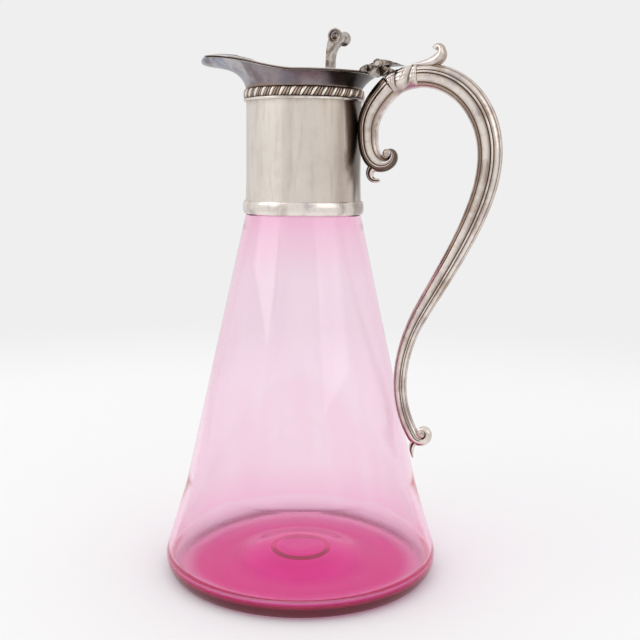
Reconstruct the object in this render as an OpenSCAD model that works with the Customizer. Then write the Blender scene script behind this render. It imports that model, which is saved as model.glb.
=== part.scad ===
// Claret jug: a cone-shaped glass body in a silver mount with a gadrooned collar,
// a pouring spout, a hinged lid with a scrolled thumbpiece, and a cast scroll handle.
// Millimetres. The jug stands on z = 0, its axis is Z, the spout points to -X
// and the handle to +X.

/* [Glass body] */
// Height of the glass shoulder that the silver foot ring stands on
body_h = 180.8; // [150:1:215]
// Widest radius, just above the table
base_r = 69.2; // [57:0.1:84]
// Outer radius of the cone at the shoulder
shoulder_r = 28.4; // [28:0.1:30]
// Wall of the cone
glass_t = 2.6; // [2:0.1:3.5]
// Height of the short flare below the straight cone
flare_foot_h = 47.8; // [40:1:60]
// How far that flare runs out to the widest radius
flare_foot_out = 11.2; // [8:0.1:15]
// Radius of the rounded heel
heel_r = 6.2; // [5:0.1:9]
// Height of the heel's widest point
heel_h = 8.8; // [7:0.1:10]
// Width of the flat ring that the jug rests on
rest_w = 20; // [16:1:24]
// Rise of the hollow under the base
punt_h = 5.8; // [4:0.1:6.2]
// Radius of the ground-out pontil mark
pontil_r = 13.8; // [10:0.1:16]
// Depth of the pontil mark
pontil_h = 1.2; // [0.8:0.1:1.6]
// Glass round the foot of the floor's dome
floor_t = 3.8; // [3.2:0.1:4.5]
// Height of the floor's dome above the table
floor_h = 10.4; // [10:0.1:12]
// Radius of the foot of the floor's dome
dome_r = 39; // [36:1:44]
// Outer radius of the neck inside the mount
neck_r = 26.2; // [25:0.1:26.4]
// Height of the neck above the shoulder
neck_h = 48; // [40:1:54]

/* [Collar] */
// Outer radius of the collar sleeve
sleeve_r = 28; // [28:0.1:34]
// Height of the sleeve above its lower edge
sleeve_h = 59.2; // [58:1:75]
// Silver sheet of the sleeve
sleeve_t = 0.9; // [0.7:0.1:1]
// How far the sleeve opens out at its foot
sleeve_flare = 0.8; // [0.4:0.1:1]
// Height of the half-round foot ring
foot_ring_h = 6.4; // [5:0.1:8]
// How far the foot ring stands out from the sleeve
foot_ring_w = 0.95; // [0.6:0.05:1.5]
// Height of the flat wire below the gadroons
wire_h = 1.2; // [0.8:0.1:1.6]
// How far the wire stands out
wire_w = 1.35; // [1:0.05:1.6]
// Height of the gadroon band
gadroon_h = 4.4; // [3.5:0.1:6]
// Number of large gadroons
gadroons = 36; // [24:1:40]
// How far a gadroon leans over its height, in degrees round the jug
gadroon_lean = 5; // [0:1:9]

/* [Spout and rim] */
// Radius of the round part of the rim
rim_r = 34.2; // [33:0.1:40]
// Height of the rim above the top of the sleeve
rim_up = 6.5; // [5:0.1:9]
// Reach of the spout from the jug's axis
spout_reach = 55; // [48:0.1:67]
// How much higher the spout's lip is than the rim at the back
spout_rise = 10.3; // [8:0.1:13]
// Spread of the spout, in degrees to each side
spout_spread = 22; // [18:1:28]
// Silver sheet of the flared mouth
mouth_t = 1; // [0.8:0.1:1.2]

/* [Lid and hinge] */
// Sheet of the lid at the back
lid_t = 0.8; // [0.6:0.1:1.2]
// Extra edge depth of the lid at the spout
lid_front_t = 0.3; // [0:0.1:1.2]
// Rise of the lid's crowned tongue over the spout
tongue_crown = 1.9; // [1:0.1:3]
// Gap between the closed lid and the rim
lid_gap = 0.3; // [0.25:0.05:0.5]
// How far the lid's edge is set in from the rim
lid_inset = 0.5; // [0.3:0.1:1]
// How much further it is set in at the tip of the spout
lid_tip_inset = 1.2; // [0:0.1:2]
// Distance of the hinge pin behind the rim
pin_back = 5; // [4.5:0.1:6]
// Height of the hinge pin above the rim
pin_up = 4.6; // [4.2:0.1:5.5]
// Radius of the hinge pin
pin_r = 1.1; // [0.9:0.05:1.3]
// Radius of the hinge knuckles
knuckle_r = 2.1; // [2:0.1:2.6]
// Whole width of the hinge
hinge_w = 12; // [10:0.5:14]
// Width of the lid's middle knuckle
lid_knuckle_w = 3.6; // [3:0.1:5]
// Clearance of the pin in the lid's knuckle
pin_clearance = 0.05; // [0.03:0.01:0.08]
// Height of the thumbpiece above the lid
thumb_h = 20; // [15:0.5:23]
// Distance of the thumbpiece in front of the hinge pin
thumb_front = 25.6; // [20:0.1:30]

/* [Handle] */
// Reach of the handle's centre line from the jug's axis
handle_reach = 91.9; // [86:0.1:110]
// Height of the handle's lower end above the table
tail_z = 74.9; // [62:0.1:82]
// Half depth of the handle where it is thickest
arm_a = 6; // [4:0.1:6]
// Half depth of the handle at its lower end
arm_tail_a = 3.2; // [2.5:0.1:3.6]
// Half width of the handle, as a share of its half depth
arm_round = 0.8; // [0.7:0.05:1]
// Room between the handle's lower end and the glass
tail_room = 3.4; // [3:0.1:8]

/* [Hidden] */

joint_gap = 0.05;        // film between two soldered or cemented pieces
round_fn = 128;          // smoothness of the round pieces
silver = [0.78, 0.75, 0.71];
dark_silver = [0.55, 0.52, 0.54];

// ---- places that several pieces share ----
sleeve_z = body_h + 0.4;
sleeve_top = sleeve_z + sleeve_h;
wire_z = sleeve_top - gadroon_h - wire_h;
rim_z = sleeve_top + rim_up;
lid_top = rim_z + lid_gap + lid_t;
pin_x = rim_r + pin_back;
pin_z = rim_z + pin_up;
cone_foot_r = base_r - flare_foot_out;

// Outer radius of the straight part of the glass cone at height z.
function cone_r(z) = shoulder_r
    + (cone_foot_r - shoulder_r) * (body_h - z) / (body_h - flare_foot_h);

// ---- small tools ----
function unit(v) = v / norm(v);

function bezier(p, t) = pow(1 - t, 3) * p[0] + 3 * pow(1 - t, 2) * t * p[1]
    + 3 * (1 - t) * t * t * p[2] + pow(t, 3) * p[3];

function bezier_way(p, t) = unit(pow(1 - t, 2) * (p[1] - p[0])
    + 2 * (1 - t) * t * (p[2] - p[1]) + t * t * (p[3] - p[2]));

// A quadratic curve, for outlines.
function bow(p, t) = pow(1 - t, 2) * p[0] + 2 * (1 - t) * t * p[1] + t * t * p[2];

function ellipse_arc(c, rx, ry, from, to, n) =
    [for (i = [0:n]) let (a = from + (to - from) * i / n)
        [c[0] + rx * cos(a), c[1] + ry * sin(a)]];

// Faces between the rings of a tube; every ring has n points.
function wall_faces(n, rings, closed) =
    [for (i = [0:rings - (closed ? 1 : 2)], j = [0:n - 1], half = [0, 1])
        let (a = i * n + j, b = i * n + (j + 1) % n,
            c = ((i + 1) % rings) * n + j, d = ((i + 1) % rings) * n + (j + 1) % n)
        half == 0 ? [a, b, d] : [a, d, c]];

// A solid whose skin runs over the rings and closes at both ends on a middle point.
module capped_skin(rings) {
    n = len(rings[0]);
    m = len(rings);
    points = [for (r = rings) each r];
    middle = [centre(rings[0]), centre(rings[m - 1])];
    faces = concat(wall_faces(n, m, false),
        [for (j = [0:n - 1]) [n * m, (j + 1) % n, j]],
        [for (j = [0:n - 1]) [n * m + 1, (m - 1) * n + j, (m - 1) * n + (j + 1) % n]]);
    polyhedron(concat(points, middle), faces);
}

function centre(ring) = total(ring) / len(ring);

function total(v, i = 0) = i == len(v) - 1 ? v[i] : v[i] + total(v, i + 1);

// A solid ring: the skin closes on itself both ways.
module ring_skin(sections) {
    polyhedron([for (s = sections) each s],
        wall_faces(len(sections[0]), len(sections), true));
}

// ---- glass ----
// Where the lower flare meets the heel, with the same slope as both.
heel_join = 24.5;
heel_c = [base_r - heel_r, heel_h];
join = heel_c + [heel_r * cos(heel_join), heel_h * sin(heel_join)];
cone_slope = (cone_foot_r - shoulder_r) / (body_h - flare_foot_h);
join_slope = heel_r * sin(heel_join) / (heel_h * cos(heel_join));
bend_z = (join[0] + join_slope * join[1] - cone_foot_r - cone_slope * flare_foot_h)
    / (join_slope - cone_slope);
bend = [cone_foot_r + cone_slope * (flare_foot_h - bend_z), bend_z];
rest_r = heel_c[0] - rest_w;
inner_corner_r = [14.8, 7.2];
inner_corner = [base_r - 19.2, floor_t + inner_corner_r[1]];
dome_foot = min(dome_r, inner_corner[0] - 1);
punt_flat = 6;           // radius over which the hollow is level in the middle
floor_flat = 8;          // the same for the floor above it
mark_edge = 0.8;         // width of the pontil mark's sloping edge
mark_rise = 0.5;         // how far the mark itself is hollowed
throat_r = neck_r - glass_t;

// A smooth mound of height h: level inside radius from, and nothing outside radius to.
function mound(r, h, from, to) = h * (1 + cos(180 * max(0, min(1, (r - from) / (to - from))))) / 2;

function punt(r) = mound(r, punt_h, punt_flat, rest_r);

function floor_top(r) = floor_t + mound(r, floor_h - floor_t, floor_flat, dome_foot);

function pontil(r) = punt(pontil_r) + pontil_h * min(1, (pontil_r - r) / mark_edge)
    + mark_rise * (1 - pow(r / pontil_r, 2));

outside = concat(
    [for (i = [0:4]) let (r = (pontil_r - mark_edge) * i / 4) [r, pontil(r)]],
    [[pontil_r, pontil(pontil_r)]],
    [for (i = [1:9]) let (r = pontil_r + (rest_r - pontil_r) * i / 9) [r, punt(r)]],
    ellipse_arc(heel_c, heel_r, heel_h, -90, heel_join, 14),
    [for (i = [1:8]) bow([join, bend, [cone_foot_r, flare_foot_h]], i / 8)],
    [[shoulder_r, body_h]],
    ellipse_arc([neck_r + 0.7, body_h + 0.9], 0.7, 0.7, 250, 180, 3),
    ellipse_arc([neck_r - glass_t / 2, body_h + neck_h - glass_t / 2],
        glass_t / 2, glass_t / 2, 0, 180, 8));

wall_in = glass_t * sqrt(1 + cone_slope * cone_slope);

inside = concat(
    [[throat_r, body_h + 14]],
    [for (i = [1:6]) bow([[throat_r, body_h + 14], [throat_r, body_h + 4],
        [cone_r(body_h - 8) - wall_in, body_h - 8]], i / 6)],
    [for (i = [0:8]) bow([[cone_foot_r - wall_in, flare_foot_h], [bend[0] - wall_in - 0.4, bend_z],
        inner_corner + [inner_corner_r[0], 0]], i / 8)],
    ellipse_arc(inner_corner, inner_corner_r[0], inner_corner_r[1], -10, -90, 8),
    [for (i = [11:-1:0]) let (r = dome_foot * i / 11) [r, floor_top(r)]]);

module glass_body() {
    color([0.93, 0.55, 0.75, 0.5])
        rotate_extrude($fn = round_fn) polygon(concat(outside, inside));
}

// ---- collar ----
sleeve_in = sleeve_r - sleeve_t;
flare_from = sleeve_z + 22;

function sleeve_out(z) = sleeve_r
    + sleeve_flare * pow(max(0, (flare_from - z) / (flare_from - sleeve_z)), 2);

module collar_sleeve() {
    steps = 6;
    heights = [for (i = [0:steps]) sleeve_z + (flare_from - sleeve_z) * i / steps];
    color(silver) rotate_extrude($fn = round_fn)
        polygon(concat(
            [for (z = heights) [sleeve_out(z), z]],
            [[sleeve_r, sleeve_top], [sleeve_in, sleeve_top]],
            [for (i = [steps:-1:0]) [sleeve_out(heights[i]) - sleeve_t, heights[i]]]));
}

// Plaster that beds the sleeve on the glass neck.
module plaster_bed() {
    inner = neck_r + joint_gap;
    low = sleeve_z + 0.8;
    high = body_h + neck_h - glass_t;
    color("ivory") rotate_extrude($fn = round_fn)
        polygon([[inner, low], [sleeve_in - joint_gap, low],
            [sleeve_in - joint_gap, high], [inner, high]]);
}

module foot_ring() {
    inner = sleeve_r + sleeve_flare + joint_gap;
    color(silver) rotate_extrude($fn = round_fn)
        polygon(ellipse_arc([inner, sleeve_z + foot_ring_h / 2],
            foot_ring_w, foot_ring_h / 2, -90, 90, 12));
}

module flat_wire() {
    inner = sleeve_r + joint_gap;
    color(silver) translate([0, 0, wire_z]) rotate_extrude($fn = round_fn)
        polygon([[inner, 0], [sleeve_r + wire_w - 0.2, 0], [sleeve_r + wire_w, 0.3],
            [sleeve_r + wire_w, wire_h - 0.3 - joint_gap],
            [sleeve_r + wire_w - 0.2, wire_h - joint_gap], [inner, wire_h - joint_gap]]);
}

// One repeat of the border: a large gadroon, then two fine reeds.
// Each entry is a share of the repeat and the height of the relief there.
repeat = [[0, 0], [0.09, 0.62], [0.21, 1], [0.33, 0.66], [0.42, 0], [0.56, 0.42],
    [0.7, 0], [0.84, 0.42]];
gadroon_relief = 0.85;
gadroon_levels = 4;

module gadroon_ring() {
    inner = sleeve_r + joint_gap;
    ground = sleeve_r + 0.5;
    pitch = 360 / gadroons;
    color(silver) ring_skin([for (g = [0:gadroons - 1], s = repeat)
        [for (v = [-1:gadroon_levels + 1]) let (
            k = max(0, min(gadroon_levels, v)) / gadroon_levels,
            back = v < 0 || v > gadroon_levels,
            a = pitch * (g + s[0]) + (back ? 0 : gadroon_lean * (k - 0.5)),
            swell = sqrt(max(0, 1 - pow(2 * k - 1, 2))),
            r = back ? inner : ground + swell * (0.25 + gadroon_relief * s[1]))
            [r * cos(a), r * sin(a), wire_z + wire_h + gadroon_h * k]]]);
}

// ---- mouth: a round flare drawn out into a spout ----
half_columns = 38;
// Angles from the spout, closer together near it.
turns = concat([for (j = [0:half_columns]) 180 * pow(j / half_columns, 1.35)],
    [for (j = [half_columns - 1:-1:1]) -180 * pow(j / half_columns, 1.35)]);

function spoutness(turn) = exp(-pow(turn / spout_spread, 2));

function rim_radius(turn) = rim_r + (spout_reach - rim_r) * spoutness(turn);

rise_start = 8;

// Height of the rim over a point at the given x.
function rim_height(x) = rim_z + spout_rise
    * pow(sin(90 * max(0, min(1, (rise_start - x) / (rise_start + spout_reach)))), 1.4);

// The mouth's profile, as shares of its spread and of its height: a plain flare
// round the back, and a trough with an upturned end at the spout.
flare_curve = [[0, 0], [0.1, 0.3], [0.6, 0.8], [1, 1]];
trough_curve = [[0, 0], [0.12, 0.97], [1.24, 0.55], [0.97, 1]];
mouth_levels = 6;

function mouth_point(turn, t, inset) =
    let (w = spoutness(turn),
        curve = (1 - w) * flare_curve + w * trough_curve,
        share = bezier(curve, t),
        spread = rim_radius(turn) - sleeve_r,
        lift = rim_height(-rim_radius(turn) * cos(turn)) - sleeve_top - joint_gap,
        way = bezier_way([for (c = curve) [c[0] * spread, c[1] * lift]], t),
        base = sleeve_top + joint_gap,
        r = sleeve_r + share[0] * spread - inset * (t == 1 ? 1 / way[1] : way[1]),
        top = rim_height(-r * cos(turn)),
        z = t == 0 ? base : t == 1 ? top : min(base + share[1] * lift + way[0] * inset, top - 0.1))
    [-r * cos(turn), -r * sin(turn), z];

module spout_mouth() {
    color(dark_silver) ring_skin([for (turn = turns)
        concat([for (i = [0:mouth_levels]) mouth_point(turn, i / mouth_levels, 0)],
            [for (i = [mouth_levels:-1:0]) mouth_point(turn, i / mouth_levels, mouth_t)])]);
}

// ---- lid: a thin plate that follows the rim, with a crowned tongue at the spout ----
tongue_from = -31;
tongue_blend = 2;

function ease(t) = let (s = max(0, min(1, t))) s * s * (3 - 2 * s);

function tongue(x) = ease((tongue_from + tongue_blend - x) / (2 * tongue_blend));

// Depth of the lid's edge: deepest beside the spout, thin again on the tongue.
function lid_edge_t(x) = lid_t
    + lid_front_t * ease((5 - x) / 35) * (1 - tongue(x)) - 0.3 * tongue(x);

function lid_point(turn, share, top) =
    let (r = (rim_radius(turn) - lid_inset - lid_tip_inset * pow(spoutness(turn), 3)) * share,
        x = -r * cos(turn),
        z = rim_height(x) + lid_gap
            + (top ? lid_edge_t(x) + tongue_crown * tongue(x) * (1 - pow(share, 6)) : 0))
    [x, -r * sin(turn), z];

lid_rings = [0.3, 0.7, 0.9, 1];

module lid() {
    n = len(lid_rings);
    color(dark_silver) capped_skin(concat(
        [for (i = [0:n - 1]) [for (turn = turns) lid_point(turn, lid_rings[i], false)]],
        [for (i = [n - 1:-1:0]) [for (turn = turns) lid_point(turn, lid_rings[i], true)]]));
}

// ---- thumbpiece: a flat stem rolled over into a scroll with trumpet ends ----
stem_t = 1.5;
stem_w = 9.6;
roll_r = 3.4;
roll_waist_r = 2.5;
roll_half = 6.4;
thumb_x = pin_x - thumb_front;
thumb_z = lid_top + joint_gap;

module thumbpiece() {
    roll_x = thumb_x + 4.4;
    roll_z = thumb_z + thumb_h - roll_r;
    color(silver) {
        along_y(stem_w) polygon(concat(
            [[thumb_x - 1.3, thumb_z], [thumb_x + 1.3, thumb_z],
                [thumb_x + stem_t / 2, thumb_z + 1.2]],
            [for (i = [0:4]) bow([[thumb_x + 0.9, roll_z - 9], [thumb_x + 1.4, roll_z - 4],
                [roll_x + 0.5, roll_z - roll_waist_r]], i / 4)],
            [for (i = [0:5]) bow([[roll_x, roll_z + roll_waist_r],
                [thumb_x - 0.1, roll_z + roll_waist_r],
                [thumb_x - 0.6, roll_z - 9]], i / 5)],
            [[thumb_x - stem_t / 2, thumb_z + 1.2]]));
        translate([roll_x, 0, roll_z]) rotate([90, 0, 0]) rotate_extrude($fn = 48)
            polygon(concat(roll_end(-1),
                [for (i = [0:8]) let (y = 0.86 * roll_half * (i / 4 - 1))
                    [roll_waist_r + (roll_r - roll_waist_r) * pow(y / (0.86 * roll_half), 2), y]],
                roll_end(1)));
    }
}

// A dished end of the roll round a raised eye; side is -1 or 1.
function roll_end(side) =
    let (half = [[0, roll_half], [0.7, roll_half - 0.1], [1.3, roll_half - 0.6],
        [1.6, roll_half - 1.1], [roll_r - 1, roll_half - 1.1], [roll_r - 0.7, roll_half],
        [roll_r, roll_half]])
    side < 0 ? [for (p = half) [p[0], -p[1]]] : [for (i = [6:-1:0]) half[i]];

// ---- hinge ----
strap_w = 8;
strap_front = 10;        // length of the strap in front of the pin
knuckle_gap = 0.3;

module along_y(length) {
    translate([0, length / 2, 0]) rotate([90, 0, 0]) linear_extrude(length) children();
}

module lid_hinge_strap() {
    low = thumb_z;
    tail_x = rim_r - lid_inset - 0.4;
    color(dark_silver) difference() {
        union() {
            along_y(strap_w) polygon([[pin_x - strap_front, low], [tail_x, low],
                [tail_x, low + 3.4], [tail_x - 1.4, low + 2.9], [tail_x - 3.2, low + 1.9]]);
            along_y(lid_knuckle_w) polygon([[tail_x - 1.5, low + 0.6], [tail_x + 0.4, low + 0.6],
                [pin_x - 1, pin_z - knuckle_r + 0.4], [pin_x, pin_z + knuckle_r - 0.1],
                [pin_x - 3, pin_z + knuckle_r - 1], [tail_x - 1.5, low + 3]]);
            translate([pin_x, 0, pin_z]) rotate([90, 0, 0])
                cylinder(h = lid_knuckle_w, r = knuckle_r, center = true, $fn = 48);
        }
        translate([pin_x, 0, pin_z]) rotate([90, 0, 0])
            cylinder(h = strap_w + 2, r = pin_r + pin_clearance, center = true, $fn = 48);
    }
}

module hinge_pin() {
    color(silver) translate([pin_x, 0, pin_z]) rotate([90, 0, 0])
        cylinder(h = hinge_w + 0.6, r = pin_r, center = true, $fn = 48);
}

shell_r = knuckle_r + 3.45;
shell_w = 7.2;
shell_ribs = 4;
seat_z = rim_z + 3.9;    // top of the handle under the bracket

module hinge_bracket() {
    slot = lid_knuckle_w + 2 * knuckle_gap;
    color(silver) difference() {
        union() {
            translate([pin_x, 0, pin_z]) rotate([90, 0, 0])
                cylinder(h = hinge_w, r = knuckle_r, center = true, $fn = 48);
            // plate over the handle, ending in a leaf
            along_y(hinge_w - 3) polygon([[pin_x, pin_z - 1.4], [pin_x + 4.4, seat_z],
                [pin_x + 10.6, seat_z + 0.1], [pin_x + 8.2, seat_z + 0.9],
                [pin_x + 5.4, pin_z + 1.1], [pin_x + 3, pin_z + 1.7], [pin_x, pin_z + 1.9]]);
            // reeded shell below the barrel
            translate([pin_x, 0, pin_z]) rotate([90, 0, 0]) rotate([0, 0, -84])
                rotate_extrude(angle = 62, $fn = 96)
                    polygon(concat([[knuckle_r - 0.8, -shell_w / 2], [knuckle_r - 0.8, shell_w / 2]],
                        shell_side(1), shell_side(-1)));
            // lug that reaches forward to the back of the mouth
            along_y(hinge_w - 4) polygon([[rim_r + 0.1, rim_z - 0.8],
                [rim_r + 0.1, rim_z + 0.6], [pin_x - 1.9, pin_z - 2.2],
                [pin_x, pin_z - 1.6], [pin_x + 0.6, pin_z - shell_r + 1.1],
                [rim_r + 2.2, rim_z - 0.9]]);
        }
        translate([pin_x, 0, pin_z]) rotate([90, 0, 0])
            cylinder(h = hinge_w + 2, r = pin_r + 0.02, center = true, $fn = 48);
        // room for the lid's knuckle
        translate([pin_x, 0, pin_z]) rotate([90, 0, 0])
            cylinder(h = slot, r = knuckle_r + knuckle_gap, center = true, $fn = 48);
        translate([pin_x - 6, -slot / 2, pin_z - knuckle_r - knuckle_gap])
            cube([6, slot, 8]);
    }
}

// Outline of one side of the reeded shell.
function shell_side(side) =
    let (steps = 4 * shell_ribs)
    [for (k = [0:steps]) let (i = side > 0 ? k : steps - k)
        [knuckle_r + (shell_r - knuckle_r) * i / steps,
            side * (shell_w / 2 + 0.6 * abs(sin(45 * i)))]];

// ---- handle ----
arch_z = rim_z - 1.2;
knot_x = pin_x + 4.85;
knot_z = arch_z - 4.3;
arm_x = knot_x + 13.55;
tail_x = cone_r(tail_z) + 3.9 + tail_room;

knot_path = [[knot_x, knot_z], [knot_x + 3.4, knot_z + 3], [arm_x - 5.2, arch_z - 0.36],
    [arm_x, arch_z]];
arch = [[arm_x, arch_z], [arm_x + 19, arch_z + 1.3], [handle_reach, arch_z - 15.4],
    [handle_reach, arch_z - 36.8]];
lower_bend = [tail_x + 2.1, tail_z + 60.4];
back = [arch[3], [handle_reach, arch_z - 59.8], lower_bend + [13.1, 24], lower_bend];
tail = [lower_bend, lower_bend - [3.3, 6.1], [tail_x - 16.1, tail_z + 25.7], [tail_x, tail_z]];
arm_path = [arch, back, tail];

function path_at(u) = let (i = min(floor(u), 2)) bezier(arm_path[i], u - i);

function path_way(u) = let (i = min(floor(u), 2)) bezier_way(arm_path[i], u - i);

// Half depth of the arm: fullest in the turn of the arch, thin at the tail.
arm_full = 0.6;
function arm_half(u) = u < arm_full ? arm_a - 0.7 * pow(1 - u / arm_full, 2)
    : arm_tail_a + (arm_a - arm_tail_a)
        * pow((1 + cos(180 * (u - arm_full) / (3 - arm_full))) / 2, 1.15);

// The arm as far as u = last, made fatter by grow.
module arm_bar(last, steps, grow) {
    capped_skin([for (i = [0:steps]) let (u = last * i / steps, a = arm_half(u))
        reeded(path_at(u), path_way(u), a + grow, a * arm_round + grow)]);
}

module handle_arm() {
    color(silver) arm_bar(3, 34, 0);
}

// Reeds of the bar, from its outer edge round to its inner edge: the angle of each
// ridge or groove, and how deep it lies below the full oval.
reeds = [[0, 0], [12, 0.07], [20, 0], [28, 0.07], [40, 0], [54, 0.02], [63, 0.11],
    [70, 0.01], [77, 0.12], [92, 0], [112, 0.01], [126, 0.08], [146, 0], [166, 0.01]];
last_reed = len(reeds) - 1;
reed_ring = concat(reeds, [[180, 0.01]],
    [for (i = [last_reed:-1:1]) [360 - reeds[i][0], reeds[i][1]]]);

// One reeded section of a bar that follows a path in the XZ plane.
// at: point, way: direction, a: half depth, b: half width.
function reeded(at, way, a, b) =
    [for (s = reed_ring) let (r = 1 - s[1])
        [at[0] - way[1] * a * r * cos(s[0]), b * r * sin(s[0]), at[1] + way[0] * a * r * cos(s[0])]];

// A plain oval section, with n points.
function oval(at, way, a, b, n) =
    [for (j = [0:n - 1]) let (g = 360 * j / n)
        [at[0] - way[1] * a * cos(g), b * sin(g), at[1] + way[0] * a * cos(g)]];

// A volute: the bar winds round c from one angle to another on a logarithmic
// spiral, and gets thinner at the same rate. With side -1 the reeds change sides.
function volute(c, r0, r1, from, to, a0, a1, b0, b1, side, steps) =
    let (pull = atan(ln(r0 / r1) * 180 / (3.14159 * (to - from))))
    [for (i = [1:steps]) let (t = i / steps, g = from + (to - from) * t,
        r = r0 * pow(r1 / r0, t), w = g + 90 + pull)
        reeded(c + r * [cos(g), sin(g)], [cos(w), sin(w)],
            side * a0 * pow(a1 / a0, t), side * (b0 + (b1 - b0) * t))];

function way_in(from, r0, r1, to) =
    let (w = from + 90 + atan(ln(r0 / r1) * 180 / (3.14159 * (to - from)))) [cos(w), sin(w)];

module boss(c, r, half) {
    translate([c[0], 0, c[1]]) rotate([90, 0, 0]) rotate_extrude($fn = 32)
        polygon(concat([[0, -half - r / 2]], ellipse_arc([0, -half], r, r / 2, -60, 0, 3),
            ellipse_arc([0, half], r, r / 2, 0, 60, 3), [[0, half + r / 2]]));
}

module leaf(path, a0, a1, b0, b1, steps) {
    capped_skin([for (i = [0:steps]) let (t = i / steps)
        oval(bezier(path, t), bezier_way(path, t), a0 + (a1 - a0) * t, b0 + (b1 - b0) * t, 12)]);
}

// The bracket that runs from the knot down the back of the collar.
c_top = 5.8;             // half depth of the bracket at the knot
c_deep = 5.05;           // and where it meets the collar
c_end = 4.4;             // and where its volute begins
c_spiral = 6.6;          // radius of the volute's first turn, to the middle of the bar
c_spiral_in = 1.2;       // and of its last
c_mid = [sleeve_r + 0.2 + c_deep, arch_z - 26.1];
c_eye = [c_mid[0] + 10.3, arch_z - 35.1];
c_from = 222;
c_to = 470;
c_way = way_in(c_from, c_spiral, c_spiral_in, c_to);
c_low = c_eye + c_spiral * [cos(c_from), sin(c_from)];
c_upper = [[knot_x, knot_z], [knot_x - 4.65, knot_z - 4.1], [c_mid[0] - 1.1, c_mid[1] + 9.5],
    c_mid];
c_lower = [c_mid, c_mid - [0, 5.7], c_low - 5 * c_way, c_low];

module handle_c_scroll() {
    color(silver) {
        capped_skin(concat(
            [for (i = [0:9]) let (t = i / 9) reeded(bezier(c_upper, t), bezier_way(c_upper, t),
                (c_top - c_deep) * t - c_top - 0.2 * sin(180 * t), -4.5)],
            [for (i = [1:5]) let (t = i / 5) reeded(bezier(c_lower, t), bezier_way(c_lower, t),
                (c_deep - c_end) * t - c_deep, 0.5 * t - 4.5)],
            volute(c_eye, c_spiral, c_spiral_in, c_from, c_to, c_end, 0.55, 4, 2.4, -1, 13)));
        boss(c_eye, 1.4, 2.9);
        leaf([c_low + [-1.4, -1.6], c_low + [-6, -3.6], c_low + [-4.4, -9.6],
            c_low + [0.6, -8.2]], 2.2, 0.4, 2.8, 0.8, 7);
    }
}

// Knot of acanthus leaves that joins the bracket, the arm and the hinge: three
// lobes with creases between them and a hollow in the side of each large one. The
// leaves lie on the top and sides; underneath, the bar runs on smoothly.
knot_creases = [0, 0.34, 0.82, 1];

function lobe(t) =
    let (i = t < knot_creases[1] ? 0 : t < knot_creases[2] ? 1 : 2,
        s = (t - knot_creases[i]) / (knot_creases[i + 1] - knot_creases[i]))
    pow(abs(sin(180 * s)), 0.6);

function hollow(t, g, t0, g0) = exp(-pow((t - t0) / 0.09, 2) - pow((g - g0) / 20, 2));

module acanthus_knot() {
    color(silver) knot_bar(0);
}

module knot_bar(grow) {
    steps = 21;
    around = 28;
    capped_skin([for (i = [0:steps])
        let (t = 0.004 + 0.992 * i / steps, at = bezier(knot_path, t),
            way = bezier_way(knot_path, t))
        [for (j = [0:around - 1]) let (g = 360 * j / around,
            side = abs(sin(g)), h = min(g, 360 - g),
            dent = hollow(t, h, 0.2, 78) + 1.2 * hollow(t, h, 0.62, 66),
            under = ease((h - 95) / 50),
            bar = c_top + (arm_half(0) - c_top) * t,
            a = grow + (1 - under) * (4.9 + lobe(t) * (0.5 + 0.2 * side) - 1.1 * dent)
                + under * bar,
            b = grow + 4.1 + (1 - under) * (lobe(t) * 1.1 - 1.2 * dent))
            [at[0] - way[1] * a * cos(g), b * sin(g), at[1] + way[0] * a * cos(g)]]]);
}

// Curled leaf on top of the arch that the thumb rests on.
module thumb_rest() {
    top = arch_z + 5.1;
    blade = [[arm_x - 3.4, top + 0.2], [arm_x + 7.5, top - 0.2], [arm_x + 11.2, top + 2.6],
        [arm_x + 10.5, top + 6.2]];
    curl = [blade[3], blade[3] + [-0.4, 1.8], blade[3] + [-2.3, 2.1], blade[3] + [-3.4, 0.6]];
    color(silver) difference() {
        capped_skin(concat(
            [for (i = [0:8]) let (t = i / 8) oval(bezier(blade, t), bezier_way(blade, t),
                0.6 + 2.2 * sin(150 * t), 1.8 + 1.7 * sin(120 * t), 14)],
            [for (i = [1:5]) let (t = i / 5) oval(bezier(curl, t), bezier_way(curl, t),
                1.7 - 1 * t, 3.2 - 1.4 * t, 14)]));
        // seat on the arm and on the knot
        arm_bar(0.7, 8, joint_gap);
        knot_bar(joint_gap);
    }
}

// Volute and leaf at the lower end of the arm.
tail_from = 201;
tail_to = 470;
tail_spiral = 4.9;
tail_spiral_in = 2;
tail_eye = [tail_x, tail_z] - tail_spiral * [cos(tail_from), sin(tail_from)];

module tail_scroll() {
    root = [tail_x, tail_z];
    color(silver) {
        capped_skin(concat([reeded(root + joint_gap * way_in(tail_from, tail_spiral,
            tail_spiral_in, tail_to), way_in(tail_from, tail_spiral, tail_spiral_in, tail_to),
                arm_tail_a, arm_tail_a * arm_round)],
            volute(tail_eye, tail_spiral, tail_spiral_in, tail_from, tail_to,
                arm_tail_a, 0.8, 2.5, 1.8, 1, 14)));
        boss(tail_eye, 1.6, 2.2);
        leaf([root + [1.2, -2.6], root + [-1.3, -5.2], root + [-0.9, -8.2], root + [0.2, -11.2]],
            2.1, 0.3, 2.3, 0.5, 6);
    }
}

glass_body();
plaster_bed();
collar_sleeve();
foot_ring();
flat_wire();
gadroon_ring();
spout_mouth();
lid();
thumbpiece();
lid_hinge_strap();
hinge_bracket();
hinge_pin();
handle_c_scroll();
acanthus_knot();
handle_arm();
thumb_rest();
tail_scroll();
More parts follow.
